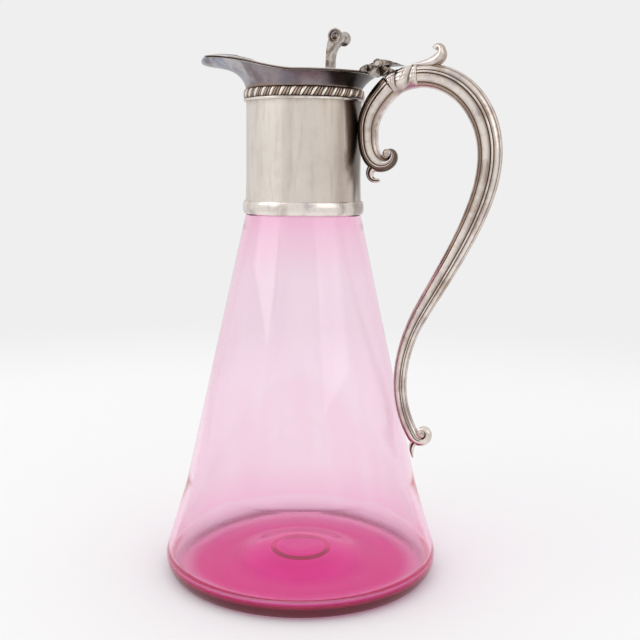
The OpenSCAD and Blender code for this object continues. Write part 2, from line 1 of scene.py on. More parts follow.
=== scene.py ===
# %% [markdown]
# # A claret jug in glass and silver
#
# The real jug is one bubble of pink glass with a silver mount cemented on its neck: a
# plain collar, a gadrooned border, a mouth drawn out into a spout, a hinged lid and a
# cast handle. The construction model already fixes where each piece is. This lesson
# gives every piece its finished surface, its material and its light.
#
# Round and swept pieces could be modelled by hand with subdivision surfaces, but each
# of them has a formula: a profile turned round an axis, or a section carried along a
# path. So each is worked out with numpy as one array of points, which is exact, short
# and easy to change.

import bmesh
import bpy
import numpy as np
from mathutils import Matrix


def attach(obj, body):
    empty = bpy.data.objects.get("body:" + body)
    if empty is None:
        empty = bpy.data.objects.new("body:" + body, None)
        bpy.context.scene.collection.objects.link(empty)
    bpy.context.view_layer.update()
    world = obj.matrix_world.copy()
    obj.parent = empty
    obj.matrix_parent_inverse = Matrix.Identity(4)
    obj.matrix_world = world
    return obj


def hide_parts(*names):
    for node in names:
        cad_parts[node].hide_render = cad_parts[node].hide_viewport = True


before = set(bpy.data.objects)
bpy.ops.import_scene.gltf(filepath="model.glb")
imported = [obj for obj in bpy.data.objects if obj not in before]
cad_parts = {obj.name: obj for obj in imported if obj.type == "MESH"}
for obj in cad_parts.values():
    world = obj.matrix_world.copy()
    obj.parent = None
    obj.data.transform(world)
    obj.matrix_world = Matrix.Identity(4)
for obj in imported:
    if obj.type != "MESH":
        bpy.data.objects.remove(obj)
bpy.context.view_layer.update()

# %% [markdown]
# ## The camera
#
# A photograph's viewpoint can be found from its round pieces: each ring shows as an
# ellipse, and how open the ellipse is says how far below the eye it lies. That gave a
# camera 0.47 m away, turned 22 degrees round the jug and looking down by 9 degrees.

# %% Place the camera
IMAGE_PIXELS = 640
FOCAL_PIXELS = 940
SENSOR_MM = 36

camera_data = bpy.data.cameras.new("camera")
camera_data.sensor_width = SENSOR_MM
camera_data.lens = FOCAL_PIXELS / IMAGE_PIXELS * SENSOR_MM
camera_data.clip_start = 0.01
camera = bpy.data.objects.new("camera", camera_data)
bpy.context.scene.collection.objects.link(camera)
bpy.context.scene.camera = camera

CAMERA_PLACE = (0.18327, -0.43001, 0.20159)
azimuth, look_down, roll = np.radians([22.0, 8.946, 0.586])
camera.matrix_world = (
    Matrix.Translation(CAMERA_PLACE)
    @ Matrix.Rotation(azimuth, 4, "Z")
    @ Matrix.Rotation(np.pi / 2 - look_down, 4, "X")
    @ Matrix.Rotation(roll, 4, "Z")
)
print("lens %.1f mm" % camera_data.lens)

# %% [markdown]
# ## Small tools for colours and nodes
#
# Colours are written as the hex values that a picture editor shows. Blender mixes
# light in linear values, so one function turns the first into the second. A second one
# adds a node to a material with its settings and its links in one call.


# %% Tools for materials
def linear(hex_colour):
    """sRGB hex to linear RGBA: each channel c becomes ((c + 0.055) / 1.055) ** 2.4,
    or c / 12.92 where it is very dark."""
    c = np.array([int(hex_colour[i : i + 2], 16) for i in (1, 3, 5)]) / 255
    c = np.where(c > 0.04045, ((c + 0.055) / 1.055) ** 2.4, c / 12.92)
    return (*c.tolist(), 1.0)


def add(tree, kind, inputs=None, **settings):
    """Adds a node of one kind. A value in inputs is typed into that socket, and an
    output socket in inputs is linked to it."""
    node = tree.nodes.new(kind)
    for name, value in settings.items():
        setattr(node, name, value)
    for socket, value in (inputs or {}).items():
        if isinstance(value, bpy.types.NodeSocket):
            tree.links.new(value, node.inputs[socket])
        else:
            node.inputs[socket].default_value = value
    return node


def new_material(name):
    """An empty material: its node tree and its output node."""
    material = bpy.data.materials.new(name)
    material.use_nodes = True
    tree = material.node_tree
    tree.nodes.clear()
    return material, tree, add(tree, "ShaderNodeOutputMaterial")


def ramp(tree, value, stops):
    """A colour ramp over value; stops are (position, hex colour)."""
    node = add(tree, "ShaderNodeValToRGB", {"Fac": value})
    elements = node.color_ramp.elements
    while len(elements) < len(stops):
        elements.new(0.5)
    for element, (position, colour) in zip(elements, stops):
        element.position = position
        element.color = linear(colour)
    return node.outputs["Color"]


def mix(tree, share, first, second, blend="MIX"):
    """first where share is 0, second where it is 1."""
    node = add(tree, "ShaderNodeMix", data_type="RGBA", blend_type=blend)
    for socket, value in ((0, share), (6, first), (7, second)):
        if isinstance(value, bpy.types.NodeSocket):
            tree.links.new(value, node.inputs[socket])
        else:
            node.inputs[socket].default_value = value
    return node.outputs[2]


def maths(tree, operation, *values, clamp=False):
    """One step of arithmetic on numbers or sockets."""
    node = add(tree, "ShaderNodeMath", dict(enumerate(values)), operation=operation)
    node.use_clamp = clamp
    return node.outputs[0]


# %% [markdown]
# ## The studio
#
# The jug was photographed on a white sweep: almost white near the jug, a little greyer
# further back, with no edge to be seen. A flat floor with a colour that falls off with
# distance does the same from every side. The light is soft and comes from all round, so
# the world gives most of it, and two large lamps give the direction.

# %% Floor and backdrop
PAPER, BACKDROP = "#fafafa", "#efefef"
FLOOR_RADIUS, FLOOR_DROP = 12.0, 0.0001  # metres
HAZE_FROM, HAZE_FULL = 0.42, 0.85  # distance from the jug in metres


def floor_disc(radius, innermost=0.02, ring_count=40, segments=96):
    """A disc just under the jug: rings of points whose radius grows by equal ratios."""
    angle = np.linspace(0, 2 * np.pi, segments, endpoint=False)
    rings = np.geomspace(innermost, radius, ring_count)
    points = np.stack(
        [np.outer(rings, np.cos(angle)), np.outer(rings, np.sin(angle)),
         np.full((len(rings), segments), -FLOOR_DROP)], -1)
    i = np.arange(len(rings) - 1)[:, None] * segments
    j = np.arange(segments)[None, :]
    k = (j + 1) % segments
    faces = np.stack([i + j, i + segments + j, i + segments + k, i + k], -1)
    middle = [list(range(segments))]
    mesh = bpy.data.meshes.new("floor")
    mesh.from_pydata(points.reshape(-1, 3).tolist(), [], faces.reshape(-1, 4).tolist() + middle)
    return mesh


def seen_rays(tree):
    """1 for a ray that shows the picture's own background: straight, in metal or
    through glass."""
    path = add(tree, "ShaderNodeLightPath").outputs
    seen = maths(tree, "MAXIMUM", path["Is Camera Ray"], path["Is Glossy Ray"])
    return maths(tree, "MAXIMUM", seen, path["Is Transmission Ray"])


# Matt coated paper: it scatters light evenly and shows no reflection of the jug.
paper, tree, out = new_material("matt_white_paper")
where = add(tree, "ShaderNodeTexCoord").outputs["Object"]
distance = add(tree, "ShaderNodeVectorMath", {0: where}, operation="LENGTH").outputs["Value"]
far = add(tree, "ShaderNodeMapRange", {
    "Value": distance, "From Min": HAZE_FROM, "From Max": HAZE_FULL,
}, interpolation_type="SMOOTHSTEP").outputs["Result"]
sheet = add(tree, "ShaderNodeBsdfDiffuse", {"Color": linear(PAPER), "Roughness": 0.0})
haze = add(tree, "ShaderNodeEmission", {"Color": linear(BACKDROP), "Strength": 1.0})
share = maths(tree, "MULTIPLY", far, seen_rays(tree))
surface = add(tree, "ShaderNodeMixShader", {0: share, 1: sheet.outputs[0], 2: haze.outputs[0]})
tree.links.new(surface.outputs[0], out.inputs["Surface"])

floor = bpy.data.objects.new("floor", floor_disc(FLOOR_RADIUS))
floor.data.materials.append(paper)
bpy.context.scene.collection.objects.link(floor)
print("floor: %d faces" % len(floor.data.polygons))

# %% [markdown]
# The room is brighter overhead than at the walls, and it lights the jug. The picture's own
# background is an even pale grey, so straight rays, and those that metal and glass send on,
# see that in place of the room.

# %% Room light and lamps
world = bpy.data.worlds.new("studio")
bpy.context.scene.world = world
world.use_nodes = True
tree = world.node_tree
tree.nodes.clear()
direction = add(tree, "ShaderNodeTexCoord").outputs["Generated"]
height = add(tree, "ShaderNodeSeparateXYZ", {0: direction}).outputs["Z"]
room = ramp(tree, height, [(0.25, "#d8d8d9"), (0.6, "#f0f0f1"), (1.0, "#ffffff")])
room_light = add(tree, "ShaderNodeBackground", {"Color": room, "Strength": 1.0})
backdrop = add(tree, "ShaderNodeBackground", {"Color": linear(BACKDROP), "Strength": 1.0})
both = add(tree, "ShaderNodeMixShader", {
    0: seen_rays(tree), 1: room_light.outputs[0], 2: backdrop.outputs[0]})
tree.links.new(both.outputs[0], add(tree, "ShaderNodeOutputWorld").inputs["Surface"])


def softbox(name, place, aim, size, power):
    """A square lamp at place, in metres, that faces aim. size is its side and power is
    in watts."""
    lamp = bpy.data.lights.new(name, "AREA")
    lamp.shape = "SQUARE"
    lamp.size = size
    lamp.energy = power
    thing = bpy.data.objects.new(name, lamp)
    back = np.subtract(place, aim) / np.linalg.norm(np.subtract(place, aim))
    side = np.cross((0, 0, 1), back)
    side /= np.linalg.norm(side)
    up = np.cross(back, side)
    thing.matrix_world = Matrix(
        [[side[i], up[i], back[i], place[i]] for i in range(3)] + [[0, 0, 0, 1]])
    bpy.context.scene.collection.objects.link(thing)


softbox("window_left", (-1.2, -1.1, 1.3), (0, 0, 0.12), 1.7, 8)
softbox("window_right", (1.5, -0.6, 1.0), (0, 0, 0.14), 1.3, 3)
bpy.context.scene.view_settings.view_transform = "Standard"
print("lamps:", len(bpy.data.lights))

# %% [markdown]
# ## Surfaces from arrays
#
# Every new piece below is a grid of points. Two neighbouring rows and two neighbouring
# columns of the grid give the four corners of a face. A ring closes on itself where its
# last column joins its first, and an end closes where a whole row shrinks to one point.
# The millimetres of the construction drawing are kept and turned to metres at the end.


# %% Turn a grid of points into a piece
MM = 0.001


def grid_faces(rows, columns, rows_close):
    """Corner numbers of the faces between neighbours; the columns always close."""
    i = np.arange(rows if rows_close else rows - 1)[:, None]
    j = np.arange(columns)[None, :]
    below, beside = (i + 1) % rows, (j + 1) % columns
    corners = [i * columns + j, i * columns + beside, below * columns + beside, below * columns + j]
    return np.stack(np.broadcast_arrays(*corners), -1).reshape(-1, 4)


def capped(rows):
    """Adds a row of middle points at both ends, so that the skin closes there."""
    ends = [np.broadcast_to(rows[k].mean(0), rows[k].shape)[None] for k in (0, -1)]
    return np.concatenate([ends[0], rows, ends[1]])


def piece(name, parts, body, replaces, material, sharp=40):
    """Makes one object out of closed skins. Each part holds its points, of shape (rows,
    columns, 3) in millimetres, whether its rows close, and an array of (rows, columns)
    that becomes the attribute "deep". On silver it goes from -1, bright, over 0, plain,
    to 1, dark: rubbed crests and tarnished hollows, and on some pieces painted highlights
    and painted shade. The glass cell says what it means there. sharp is the angle in
    degrees past which an edge stays hard."""
    points, faces, deep, first = [], [], [], 0
    for grid, rows_close, tone in parts:
        rows, columns = grid.shape[:2]
        points.append(grid.reshape(-1, 3) * MM)
        faces.append(grid_faces(rows, columns, rows_close) + first)
        deep.append(np.broadcast_to(tone, (rows, columns)).reshape(-1))
        first += rows * columns
    mesh = bpy.data.meshes.new(name)
    mesh.from_pydata(np.concatenate(points).tolist(), [], np.concatenate(faces).tolist())
    mesh.attributes.new("deep", "FLOAT", "POINT").data.foreach_set(
        "value", np.concatenate(deep).astype(np.float32))
    b = bmesh.new()
    b.from_mesh(mesh)
    bmesh.ops.remove_doubles(b, verts=b.verts, dist=1e-7)
    bmesh.ops.recalc_face_normals(b, faces=b.faces)
    b.to_mesh(mesh)
    b.free()
    mesh.shade_smooth()
    mesh.set_sharp_from_angle(angle=np.radians(sharp))
    mesh.materials.append(material)
    thing = bpy.data.objects.new(name, mesh)
    bpy.context.scene.collection.objects.link(thing)
    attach(thing, body)
    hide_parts(*replaces)
    print("%s: %d faces" % (name, len(mesh.polygons)))
    return thing


def lathe(profile, segments):
    """Turns a profile of (radius, height) round the upright axis."""
    angle = np.linspace(0, 2 * np.pi, segments, endpoint=False)
    r, z = np.asarray(profile, float).T
    return np.stack([np.outer(r, np.cos(angle)), np.outer(r, np.sin(angle)),
                     np.repeat(z[:, None], segments, 1)], -1)


def bezier(p, t):
    """Points and directions of a cubic curve: its four points weighted by
    (1-t)^3, 3(1-t)^2 t, 3(1-t) t^2 and t^3."""
    p, t = np.asarray(p, float), np.asarray(t, float)[:, None]
    at = (1 - t) ** 3 * p[0] + 3 * (1 - t) ** 2 * t * p[1] + 3 * (1 - t) * t**2 * p[2] + t**3 * p[3]
    way = (1 - t) ** 2 * (p[1] - p[0]) + 2 * (1 - t) * t * (p[2] - p[1]) + t**2 * (p[3] - p[2])
    return at, way / np.linalg.norm(way, axis=1)[:, None]


def bow(p, n):
    """n points of a curve through p[0] and p[2] that is pulled towards p[1]."""
    t = np.linspace(0, 1, n)[:, None]
    a, b, c = np.asarray(p, float)
    return (1 - t) ** 2 * a + 2 * (1 - t) * t * b + t**2 * c


def arc(centre, rx, ry, start, end, n):
    """n points of an ellipse between two angles in degrees."""
    a = np.radians(np.linspace(start, end, n))
    return np.stack([centre[0] + rx * np.cos(a), centre[1] + ry * np.sin(a)], 1)


# %% [markdown]
# ## The shape of the glass
#
# The body is one bubble of glass, blown and then worked at the foot: a cone, a foot that
# flares into a rounded heel, a hollow under the base with the ground mark of the pontil
# rod, and a neck that goes up inside the silver. It is turned from one profile, because
# every part of it was made on a spinning rod. The profile runs up the outside and down
# the inside, so the wall has its real thickness and light bends in it as in the real one.

# %% Measures of the glass, in millimetres
BODY_H, BASE_R, SHOULDER_R, WALL = 180.8, 69.2, 28.4, 2.6
FLARE_H, FLARE_OUT = 47.8, 11.2
HEEL_R, HEEL_H, HEEL_JOIN, REST_W = 6.2, 8.8, 24.5, 20.0  # HEEL_JOIN is in degrees
PUNT_H, PONTIL_R, PONTIL_H = 5.8, 13.8, 1.2
FLOOR_T, FLOOR_H, DOME_R = 3.8, 10.4, 39.0
PUNT_FLAT, FLOOR_FLAT, MARK_EDGE, MARK_RISE = 6.0, 8.0, 0.8, 0.5
CORNER_WALL, CORNER_R, CORNER_H, BEND_IN = 3.0, 16.2, 7.2, 0.4  # inside, above the heel
NECK_R, NECK_H, FILLET_R, FILLET_H = 26.2, 48.0, 0.7, 0.9
THROAT_H, THROAT_BEND, CONE_END = 14.0, 4.0, -8.0  # inside, from the shoulder upwards
MARK_ROWS, UNDER_ROWS, HEEL_ROWS = 13, 39, 40

foot_r = BASE_R - FLARE_OUT
slope = (foot_r - SHOULDER_R) / (BODY_H - FLARE_H)
heel = np.array([BASE_R - HEEL_R, HEEL_H])
heel_join = np.radians(HEEL_JOIN)
join = heel + [HEEL_R * np.cos(heel_join), HEEL_H * np.sin(heel_join)]
join_slope = HEEL_R * np.sin(heel_join) / (HEEL_H * np.cos(heel_join))
bend_z = (join[0] + join_slope * join[1] - foot_r - slope * FLARE_H) / (join_slope - slope)
bend = np.array([foot_r + slope * (FLARE_H - bend_z), bend_z])
rest_r = heel[0] - REST_W
corner = np.array([BASE_R - CORNER_WALL - CORNER_R, FLOOR_T + CORNER_H])
throat_r = NECK_R - WALL
wall_across = WALL * np.hypot(1, slope)
cone_top = np.array([SHOULDER_R - wall_across - slope * CONE_END, BODY_H + CONE_END])
print("cone: %.1f degrees to the upright" % np.degrees(np.arctan(slope)))


# %% The glass profile
def mound(r, height, level, foot):
    """height * (1 + cos(pi u)) / 2, with u going from 0 at radius level to 1 at radius foot."""
    return height * (1 + np.cos(np.pi * np.clip((r - level) / (foot - level), 0, 1))) / 2


def glass_profile():
    """Outside from the middle of the base up to the rim of the neck, then inside down
    to the middle of the floor. The hollow under the base and the floor are mounds."""
    mark = np.append(np.linspace(0, PONTIL_R - MARK_EDGE, MARK_ROWS - 1), PONTIL_R)
    under = np.linspace(PONTIL_R, rest_r, UNDER_ROWS + 1)[1:]
    lift = mound(PONTIL_R, PUNT_H, PUNT_FLAT, rest_r)
    floor_at = np.linspace(DOME_R, 0, 60)
    return np.concatenate([
        np.stack([mark, lift + PONTIL_H * np.minimum(1, (PONTIL_R - mark) / MARK_EDGE)
                  + MARK_RISE * (1 - (mark / PONTIL_R) ** 2)], 1),
        np.stack([under, mound(under, PUNT_H, PUNT_FLAT, rest_r)], 1),
        arc(heel, HEEL_R, HEEL_H, -90, HEEL_JOIN, HEEL_ROWS),
        bow([join, bend, (foot_r, FLARE_H)], 40)[1:],
        np.linspace((foot_r, FLARE_H), (SHOULDER_R, BODY_H), 60)[1:],
        arc((NECK_R + FILLET_R, BODY_H + FILLET_H), FILLET_R, FILLET_R, 250, 180, 5),
        arc((NECK_R - WALL / 2, BODY_H + NECK_H - WALL / 2), WALL / 2, WALL / 2, 0, 180, 12),
        bow([(throat_r, BODY_H + THROAT_H), (throat_r, BODY_H + THROAT_BEND), cone_top], 16),
        np.linspace(cone_top, (foot_r - wall_across, FLARE_H), 60)[1:],
        bow([(foot_r - wall_across, FLARE_H), bend - [wall_across + BEND_IN, 0],
             corner + [CORNER_R, 0]], 40)[1:],
        arc(corner, CORNER_R, CORNER_H, -4, -90, 30),
        np.stack([floor_at, FLOOR_T + mound(floor_at, FLOOR_H - FLOOR_T, FLOOR_FLAT, DOME_R)], 1),
    ])


# %% [markdown]
# ## The colour of the glass
#
# This is soda-lime glass, coloured pink in the pot. Coloured glass owes its look to
# thickness: the thin wall is pale, while the floor and the heel are seen along their
# length and are deep. So an absorption colour fills the wall. The colour is also stronger
# where the gather was thickest, and the value "deep" adds that: a little at the wall's
# two ends, much on the floor, where it sits somewhat off the middle, and 1 on the ring
# of the pontil mark. Below 0, on the heel, it is painted shade: a dark maroon for rays
# that enter from outside. Where the glass is seen edge-on it is painted a darker pink,
# as shade.
# The foot is scuffed where it stands, which blurs what the heel would otherwise mirror,
# and faint upright cords run in the wall.
#
# Light that runs inside a thick base is reflected many times before it gets out, so the
# limits on bounces are raised: with too few of them such places turn black.


# %% The glass material
def size_mm(millimetres):
    """The noise scale whose features are about this size, for coordinates in metres."""
    return 1000.0 / millimetres


CORD_MM, CORD_STRETCH, CORD_DEPTH = 11.11, 0.12, 0.02
SCUFF_FULL, SCUFF_END, SCUFF_ROUGHNESS = 1.0 * MM, 3.5 * MM, 0.4
PAINTED_EDGE_SHADE = 0.6
BOUNCES = 48

# Blown glass: clear and glossy, with soft waves that bend what lies behind it.
glass, tree, out = new_material("blown_pink_soda_lime_glass")
thickness_and_heel_shade = add(tree, "ShaderNodeAttribute", attribute_name="deep").outputs["Fac"]
rose = ramp(tree, thickness_and_heel_shade, [(0.0, "#ffffff"), (0.5, "#ff20b8"), (1.0, "#7a2038")])
# The heel's outside is painted dark maroon as shade, for rays that enter it.
inner_face = add(tree, "ShaderNodeNewGeometry").outputs["Backfacing"]
outward = maths(tree, "SUBTRACT", 1.0, inner_face)
heel_shade_entering = maths(tree, "MULTIPLY", outward, maths(tree, "MULTIPLY", thickness_and_heel_shade, -1.0, clamp=True))
where = add(tree, "ShaderNodeTexCoord").outputs["Object"]
foot_z = add(tree, "ShaderNodeSeparateXYZ", {0: where}).outputs["Z"]
scuffed = add(tree, "ShaderNodeMapRange", {
    "Value": foot_z, "From Min": SCUFF_FULL, "From Max": SCUFF_END,
    "To Min": SCUFF_ROUGHNESS, "To Max": 0.0,
}).outputs["Result"]
drawn = add(tree, "ShaderNodeMapping", {"Vector": where, "Scale": (1, 1, CORD_STRETCH)}).outputs[0]
cords = add(tree, "ShaderNodeTexNoise", {
    "Vector": drawn, "Scale": size_mm(CORD_MM), "Detail": 2.0}).outputs["Fac"]
waves = add(tree, "ShaderNodeBump", {
    "Height": cords, "Strength": 1.0, "Distance": CORD_DEPTH * MM})
streaks = maths(tree, "MULTIPLY_ADD", cords, 2.5, -0.8, clamp=True)
streaked = mix(tree, streaks, linear("#ffffff"), linear("#fef9fc"))
# Painted shade: the glass turns a darker pink where it is seen edge-on.
slant = add(tree, "ShaderNodeLayerWeight", {"Blend": 0.3}).outputs["Facing"]
edge = maths(tree, "MULTIPLY", maths(tree, "POWER", slant, 4.0), PAINTED_EDGE_SHADE)
blown = mix(tree, 1.0, rose, mix(tree, edge, streaked, linear("#e87ab4")), "MULTIPLY")
body = add(tree, "ShaderNodeBsdfPrincipled", {
    "Base Color": mix(tree, heel_shade_entering, blown, linear("#360c22")), "Specular Tint": rose,
    "Normal": waves.outputs[0], "Roughness": scuffed, "IOR": 1.51, "Transmission Weight": 1.0})
inside = add(tree, "ShaderNodeVolumeAbsorption", {"Color": linear("#f972c9"), "Density": 50.0})
is_shadow = add(tree, "ShaderNodeLightPath").outputs["Is Shadow Ray"]
thin = add(tree, "ShaderNodeBsdfTransparent", {
    "Color": ramp(tree, thickness_and_heel_shade, [(0.0, "#ffffff"), (0.5, "#ff5cdc")])})
surface = add(tree, "ShaderNodeMixShader", {0: is_shadow, 1: body.outputs[0], 2: thin.outputs[0]})
tree.links.new(surface.outputs[0], out.inputs["Surface"])
tree.links.new(inside.outputs[0], out.inputs["Volume"])
light_paths = bpy.context.scene.cycles
light_paths.max_bounces = light_paths.transmission_bounces = light_paths.glossy_bounces = BOUNCES
print("glass: %d bounces" % BOUNCES)

# %% The glass body
GLASS_SEGMENTS = 240
GATHER_AT = (2.0, -4.6)
FLOOR_TINT, FOOT_TINT, NECK_TINT = 0.5, 0.12, 0.07


def fade(value, none, full):
    """0 where value is at none or beyond, 1 at full or beyond, and even in between."""
    return np.clip((value - none) / (full - none), 0, 1)


profile = glass_profile()
bubble = lathe(profile, GLASS_SEGMENTS)
radius, height = profile.T[:, :, None]
below = (np.arange(len(profile)) < MARK_ROWS + UNDER_ROWS + HEEL_ROWS)[:, None]
off_middle = np.hypot(bubble[..., 0] - GATHER_AT[0], bubble[..., 1] - GATHER_AT[1])
floor_tint = FLOOR_TINT * fade(off_middle, 62, 52) * (height < FLOOR_H + 1)
wall_tint = FOOT_TINT * fade(height, 36, 10) + NECK_TINT * fade(height, 150, 180)
# Painted shade on the outside of the heel, below 10 mm.
heel_painted_shade = fade(height, 10, 6) * (radius > heel[0] + 1)
gather_and_heel_shade = np.where(below, -heel_painted_shade, np.maximum(floor_tint, wall_tint))
gather_and_heel_shade = np.where((np.abs(radius - PONTIL_R) < 1.3) & below, 1.0, gather_and_heel_shade)
piece("glass_bubble", [(bubble, False, gather_and_heel_shade)], "jug", ["glass_body"], glass,
      sharp=60)

# %% [markdown]
# ## Silver
#
# Silver is a very light metal, but an old jug is never all bright. Air tarnishes it
# first yellow-brown, then purple and blue-black, and rubbing takes that off everywhere
# but in the grooves. So one function makes each silver: a bright face, a stain and a thin
# coloured film that come in soft clouds, painted shade where the surface is seen edge-on,
# and painted shade, in places with tarnish, that grows towards one side. Each piece's own
# "deep" value then says where it is bright, below 0, and where it is brown and then
# nearly black, above 0: rubbed crests and tarnished grooves, and on some pieces painted
# highlights and painted shade.

# %% How silver ages
RUBBED_AND_HIGHLIGHT, BROWN = "#f6efe6", "#9a8474"
STREAK_MM, UNEVEN_MM, DENT_MM = 2.2, 5.0, 3.0


def clouds(tree, where, millimetres, detail=3.0, roughness=0.55):
    """Soft noise whose features are about this many millimetres across."""
    return add(tree, "ShaderNodeTexNoise", {
        "Vector": where, "Scale": size_mm(millimetres), "Detail": detail, "Roughness": roughness,
    }).outputs["Fac"]


def band(tree, value, low, high):
    """0 below low, 1 above high, and a soft step between them."""
    return add(tree, "ShaderNodeMapRange", {"Value": value, "From Min": low, "From Max": high},
               interpolation_type="SMOOTHSTEP").outputs["Result"]


def cover(tree, colour, share, hex_colour, strength=1.0):
    """Lays hex_colour over colour where share is 1, no more than strength of it."""
    if strength != 1.0:
        share = maths(tree, "MULTIPLY", share, strength)
    return mix(tree, share, colour, linear(hex_colour))


def silver(name, bright, stain_and_shade_colour, groove, polish, cloud_mm, stretch=(1, 1, 1),
           stain=(0.45, 0.7), dent=0.02, film="#b3a4ad", painted_shade_and_dirt=()):
    """A silver material. cloud_mm is the size of the stains, stretch draws clouds and
    streaks out along an axis, stain is where in the noise they start and are full, dent
    is the depth in millimetres of what the polishing left uneven, film is the tint of
    the thin tarnish, and each entry of the last argument, a list, is (direction, plain at,
    dark at, share, colour): mostly painted shade, in places with tarnish, that grows along
    that direction between the two distances, in metres. Where the surface is seen edge-on,
    the colour turns towards the stain colour as painted shade."""
    material, tree, out = new_material(name)
    where = add(tree, "ShaderNodeTexCoord").outputs["Object"]
    drawn = add(tree, "ShaderNodeMapping", {"Vector": where, "Scale": stretch}).outputs[0]
    stains = band(tree, clouds(tree, drawn, cloud_mm), *stain)
    streaks = clouds(tree, drawn, STREAK_MM, detail=2.0)
    deep = add(tree, "ShaderNodeAttribute", attribute_name="deep").outputs["Fac"]
    slant = add(tree, "ShaderNodeLayerWeight", {"Blend": 0.4}).outputs["Facing"]
    filmed = band(tree, clouds(tree, where, cloud_mm * 0.7), 0.46, 0.68)
    colour = mix(tree, stains, linear(bright), linear(stain_and_shade_colour))
    colour = cover(tree, colour, filmed, film, 0.6)
    colour = cover(tree, colour, band(tree, streaks, 0.5, 0.75), stain_and_shade_colour, 0.35)
    # Painted shade: the colour turns towards the stain colour where the surface is seen edge-on.
    colour = cover(tree, colour, band(tree, slant, 0.35, 1.0), stain_and_shade_colour, 0.55)
    uneven = maths(tree, "MULTIPLY_ADD", clouds(tree, drawn, UNEVEN_MM), 0.006, -0.003)
    # Painted shade, in places with tarnish, that grows along one direction.
    for along, plain_at, dark_at, share, shade_and_dirt_colour in painted_shade_and_dirt:
        reach = add(tree, "ShaderNodeVectorMath", {0: where, 1: along}, operation="DOT_PRODUCT")
        there = band(tree, maths(tree, "ADD", reach.outputs["Value"], uneven), plain_at, dark_at)
        colour = cover(tree, colour, there, shade_and_dirt_colour, share)
    # Below 0, "deep" gives rubbed crests and painted highlights; above 0, tarnish and painted
    # shade.
    colour = cover(tree, colour, maths(tree, "MULTIPLY", deep, -1.0, clamp=True), RUBBED_AND_HIGHLIGHT)
    colour = cover(tree, colour, band(tree, deep, 0.02, 0.55), BROWN)
    colour = cover(tree, colour, band(tree, deep, 0.4, 0.85), groove)
    rough = maths(tree, "MULTIPLY_ADD", maths(tree, "SUBTRACT", streaks, 0.5), 0.16, polish)
    rough = maths(tree, "MULTIPLY_ADD", stains, 0.05, rough, clamp=True)
    bump = add(tree, "ShaderNodeBump", {
        "Height": clouds(tree, drawn, DENT_MM), "Strength": 1.0, "Distance": dent * MM})
    surface = add(tree, "ShaderNodeBsdfPrincipled", {
        "Base Color": colour, "Metallic": 1.0, "Roughness": rough, "Normal": bump.outputs[0]})
    tree.links.new(surface.outputs[0], out.inputs["Surface"])
    return material


# %% [markdown]
# The jug's silver was rolled, drawn, cast or struck, and each way leaves its own skin.
# The colours are those of clean silver, warm white, and of its tarnish on each piece.
# Polished pieces have a roughness near 0.2, and satin ones near 0.3.

# %% Silver in several states
# Rolled sheet, last polished up and down: upright streaks blur what it mirrors. Tarnish
# and painted shade lie under the border, and painted shade darkens it towards the handle
# and most where it meets the bracket.
satin_sheet = silver(
    "satin_rolled_silver_sheet", "#e6ded5", "#bfb3a7", "#6e5a4c", 0.30,
    stretch=(1, 1, 0.12), stain=(0.5, 0.85), cloud_mm=9, dent=0.03, film="#ddd3cb",
    painted_shade_and_dirt=[((0, 0, 1), 0.2315, 0.2375, 0.7, "#a08d7c"),
          ((1, 0, 0), 0.002, 0.026, 0.4, "#97806f"),
          ((1, 0, 0.09), 0.0443, 0.0468, 0.85, "#4a382c")])
# Drawn wire, polished: small crisp highlights that run along it.
# Painted shade darkens it on the handle's side, behind the bracket.
band_silver = silver(
    "polished_silver_wire", "#ebe3db", "#c6bab0", "#57493c", 0.22, cloud_mm=12,
    stretch=(1, 1, 0.5), painted_shade_and_dirt=[((1, 0, 0), 0.026, 0.030, 0.5, "#6b5645")])
# Hammered flare, little handled: a dull purple and blue film over the metal.
# It is darker towards the back, and painted nearly black by the hinge as shade.
tarnished = silver(
    "tarnished_silver_flare", "#bcb6b8", "#7f7276", "#2a1c16", 0.30, cloud_mm=12,
    film="#6c8098", painted_shade_and_dirt=[((1, 0, 0), -0.022, -0.004, 0.7, "#77696c"),
                          ((1, 0, 0), 0.0175, 0.0245, 0.95, "#20160f")])
# Struck strip: bright crests between nearly black hollows.
# Painted shade darkens it on the handle's side, behind the bracket.
chased = silver(
    "chased_gadroon_silver", "#d6cbbf", "#a3917f", "#1e1713", 0.22, cloud_mm=8,
    painted_shade_and_dirt=[((1, 0, 0), 0.024, 0.030, 0.8, "#5e3f22")])
# Castings, filed and polished: bright, with dark lines left in the reeds.
cast = silver(
    "cast_and_polished_silver", "#e6dcd4", "#a8978c", "#241a17", 0.20, cloud_mm=10)
# Small hinge parts that a cloth can't reach: brown to black in patches.
oxidised = silver(
    "oxidised_hinge_silver", "#c3b8ad", "#4d4038", "#1d1613", 0.26, stain=(0.38, 0.6),
    cloud_mm=3.5, film="#6f675e")
# The thumbpiece, darkened by hands: patches of brown and grey on worn metal.
handled = silver(
    "silver_darkened_by_handling", "#cfc5bc", "#6f5c50", "#241a17", 0.24,
    stain=(0.42, 0.66), cloud_mm=5, film="#8b8c94")
print("materials:", len(bpy.data.materials))

# %% [markdown]
# ## Plaster, and the plain silver rings
#
# Plaster of Paris fills the gap between neck and collar. It shows only through the glass
# from below. The collar sleeve, its foot ring, the flat wire and the parts of the hinge
# are exact shapes already, so the construction model's own surfaces stay and only get
# their material.

# %% Finish the pieces that keep their construction surface
GRAIN_MM = 0.8

